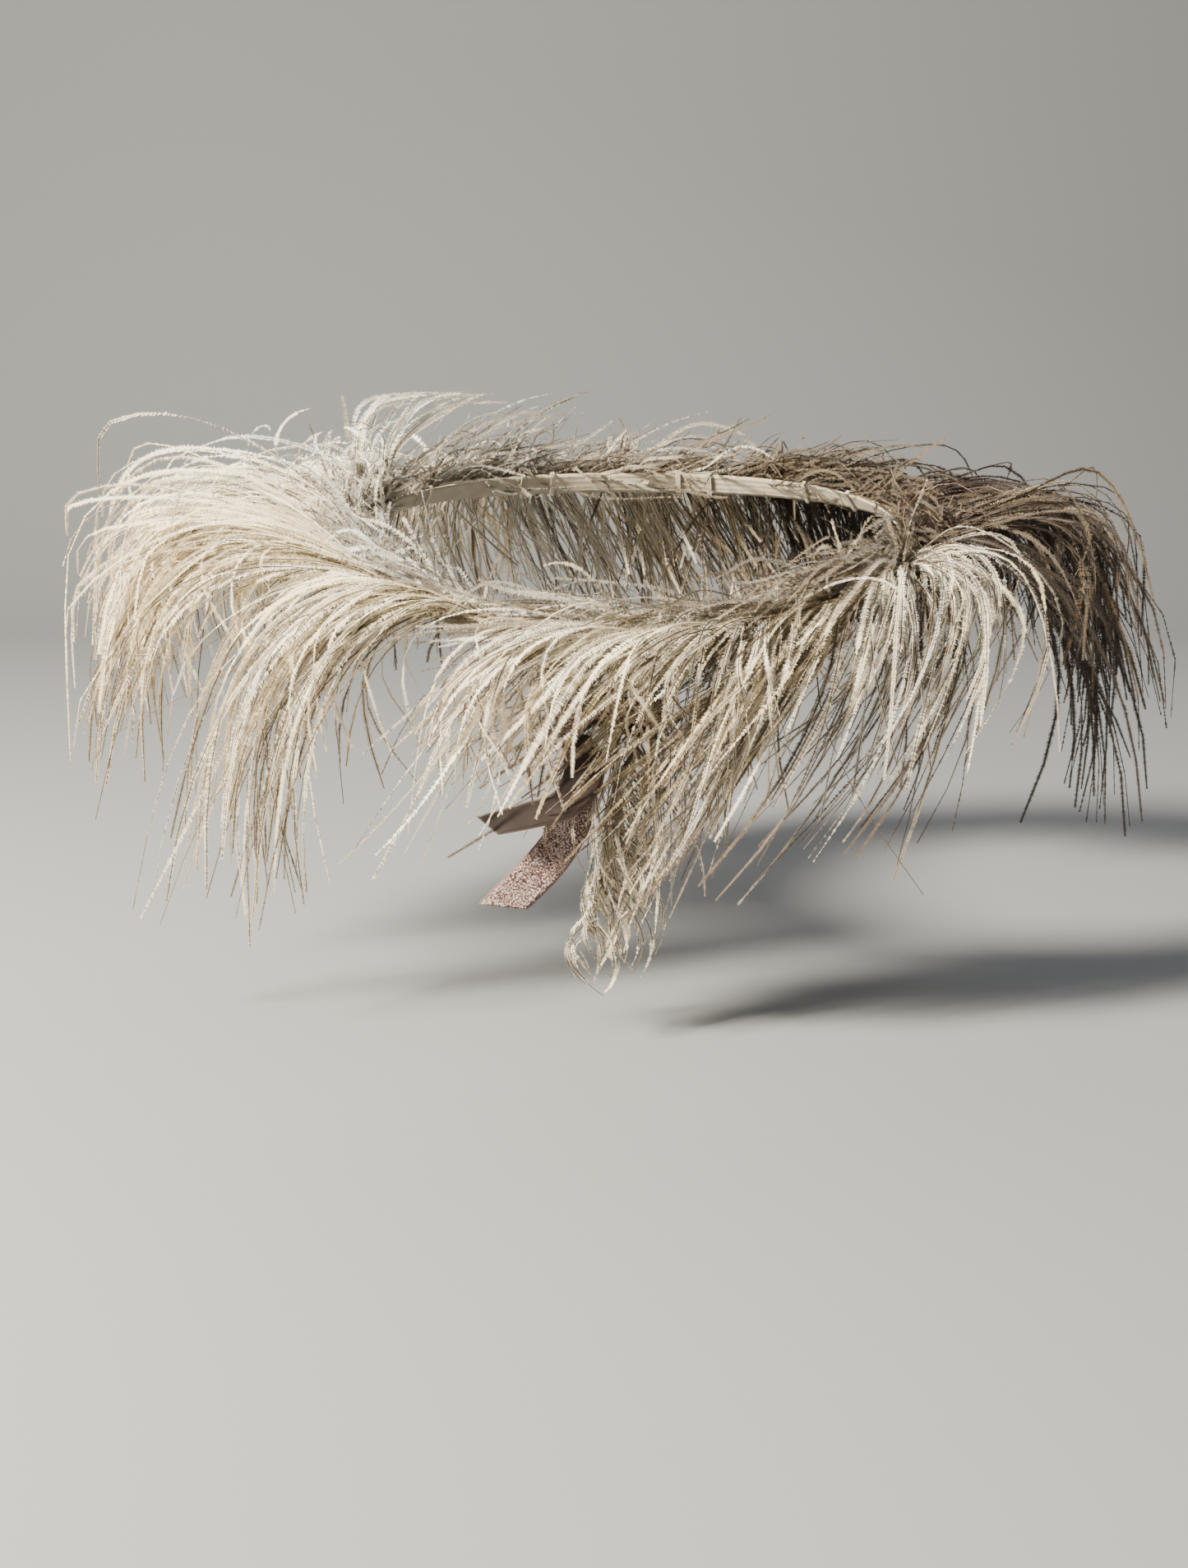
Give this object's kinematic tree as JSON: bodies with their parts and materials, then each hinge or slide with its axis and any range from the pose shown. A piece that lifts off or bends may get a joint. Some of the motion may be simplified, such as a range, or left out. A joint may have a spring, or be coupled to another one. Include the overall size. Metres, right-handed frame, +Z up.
{
  "type": "feather boa",
  "caption": "Short shoulder boa of ostrich plumes sewn round a neck tape, with a hanging front plume and a velvet ribbon tie.",
  "frame": {"origin": "centre of the neck loop at shoulder height, where the boa rests on its wearer", "axes": "+Z up; the wearer faces -Y; +X towards the wearer's left shoulder"},
  "size_m": [0.6934, 0.3985, 0.3505],
  "materials": {
    "barbs": "cream ostrich barbs with fine brown stems, matt and fluffy",
    "barbs_neck_side": "blue-white short barbs, matt and downy",
    "quill": "brown horn quill, faintly glossy",
    "cotton_tape": "beige twill tape, matt",
    "binding_thread": "waxed linen thread",
    "ribbon_velvet": "dusty mauve-brown velvet pile",
    "ribbon_satin_back": "dark plum-brown woven ribbon back"
  },
  "bodies": {
    "nape": {"tape_back": "cotton_tape", "binding_back_left_butt": "binding_thread", "binding_back_left_tip": "binding_thread", "binding_back_centre_butt": "binding_thread", "binding_back_centre_tip": "binding_thread", "binding_back_right_butt": "binding_thread", "binding_back_right_tip": "binding_thread"},
    "right_wing": {"tape_right": "cotton_tape", "ribbon_strap_right": "ribbon_satin_back", "ribbon_knot": "ribbon_velvet", "ribbon_loop": "ribbon_velvet", "binding_centre_drop": "binding_thread", "binding_right_shoulder_butt": "binding_thread", "binding_right_shoulder_tip": "binding_thread", "binding_right_front_butt": "binding_thread", "binding_right_front_tip": "binding_thread", "binding_centre_front_butt": "binding_thread", "binding_centre_front_tip": "binding_thread"},
    "left_wing": {"tape_left": "cotton_tape", "ribbon_strap_left": "ribbon_satin_back", "binding_left_front_butt": "binding_thread", "binding_left_front_tip": "binding_thread", "binding_left_shoulder_butt": "binding_thread", "binding_left_shoulder_tip": "binding_thread"},
    "plume_back_left": {"quill_back_left": "quill", "vane_back_left_outer": "barbs", "vane_back_left_neck": "barbs_neck_side"},
    "plume_back_centre": {"quill_back_centre": "quill", "vane_back_centre_outer": "barbs", "vane_back_centre_neck": "barbs_neck_side"},
    "plume_back_right": {"quill_back_right": "quill", "vane_back_right_outer": "barbs", "vane_back_right_neck": "barbs_neck_side"},
    "plume_right_shoulder": {"quill_right_shoulder": "quill", "vane_right_shoulder_outer": "barbs", "vane_right_shoulder_neck": "barbs_neck_side"},
    "plume_right_front": {"quill_right_front": "quill", "vane_right_front_outer": "barbs", "vane_right_front_neck": "barbs_neck_side"},
    "plume_centre_front": {"quill_centre_front": "quill", "vane_centre_front_outer": "barbs", "vane_centre_front_neck": "barbs_neck_side"},
    "plume_left_front": {"quill_left_front": "quill", "vane_left_front_outer": "barbs", "vane_left_front_neck": "barbs_neck_side"},
    "plume_left_shoulder": {"quill_left_shoulder": "quill", "vane_left_shoulder_outer": "barbs", "vane_left_shoulder_neck": "barbs_neck_side"},
    "plume_centre_drop": {"quill_centre_drop": "quill", "vane_centre_drop_left": "barbs", "vane_centre_drop_right": "barbs"},
    "tail_dark": {"ribbon_tail_dark": "ribbon_satin_back"},
    "tail_velvet": {"ribbon_tail_velvet": "ribbon_velvet"}
  },
  "joints": [
    {"name": "right_wing_open", "type": "hinge", "parent": "nape", "child": "right_wing", "pos_m": [0.14836, 0.06713, 0.02847], "axis": [0, 0, 1], "range_deg": [0, 20]},
    {"name": "left_wing_open", "type": "hinge", "parent": "nape", "child": "left_wing", "pos_m": [-0.13895, 0.05359, 0.02577], "axis": [0, 0, -1], "range_deg": [0, 20]},
    {"name": "back_left_lift", "type": "hinge", "parent": "nape", "child": "plume_back_left", "pos_m": [-0.12687, 0.06817, 0.03061], "axis": [0.8831, 0.4647, 0.0655], "range_deg": [0, 15]},
    {"name": "back_centre_lift", "type": "hinge", "parent": "nape", "child": "plume_back_centre", "pos_m": [-0.04187, 0.10732, 0.03594], "axis": [0.9994, 0.0358, 0.0036], "range_deg": [0, 15]},
    {"name": "back_right_lift", "type": "hinge", "parent": "nape", "child": "plume_back_right", "pos_m": [0.06946, 0.10653, 0.03586], "axis": [0.9251, -0.3768, -0.0477], "range_deg": [0, 15]},
    {"name": "right_shoulder_lift", "type": "hinge", "parent": "right_wing", "child": "plume_right_shoulder", "pos_m": [0.16331, 0.05647, 0.0285], "axis": [0.2967, -0.9234, -0.2435], "range_deg": [0, 15]},
    {"name": "right_front_lift", "type": "hinge", "parent": "right_wing", "child": "plume_right_front", "pos_m": [0.18561, -0.04173, 0.00128], "axis": [-0.6538, -0.6971, -0.2942], "range_deg": [0, 15]},
    {"name": "centre_front_lift", "type": "hinge", "parent": "right_wing", "child": "plume_centre_front", "pos_m": [0.10812, -0.11395, -0.02979], "axis": [-0.9797, -0.1786, -0.0914], "range_deg": [0, 15]},
    {"name": "left_front_lift", "type": "hinge", "parent": "left_wing", "child": "plume_left_front", "pos_m": [-0.06552, -0.12097, -0.0333], "axis": [-0.796, 0.5511, 0.2504], "range_deg": [0, 15]},
    {"name": "left_shoulder_lift", "type": "hinge", "parent": "left_wing", "child": "plume_left_shoulder", "pos_m": [-0.15916, -0.04746, -0.00085], "axis": [0.0833, 0.9556, 0.2828], "range_deg": [0, 15]},
    {"name": "centre_drop_swing", "type": "hinge", "parent": "right_wing", "child": "plume_centre_drop", "pos_m": [0.01424, -0.13977, -0.0559], "axis": [0, -1, 0], "range_deg": [-10, 10]},
    {"name": "tail_dark_lift", "type": "hinge", "parent": "right_wing", "child": "tail_dark", "pos_m": [-0.02, -0.1585, -0.0905], "axis": [-1, 0, 0], "range_deg": [0, 12]},
    {"name": "tail_velvet_swing", "type": "hinge", "parent": "right_wing", "child": "tail_velvet", "pos_m": [-0.027, -0.1545, -0.0905], "axis": [0, -1, 0], "range_deg": [-8, 8]}
  ]
}
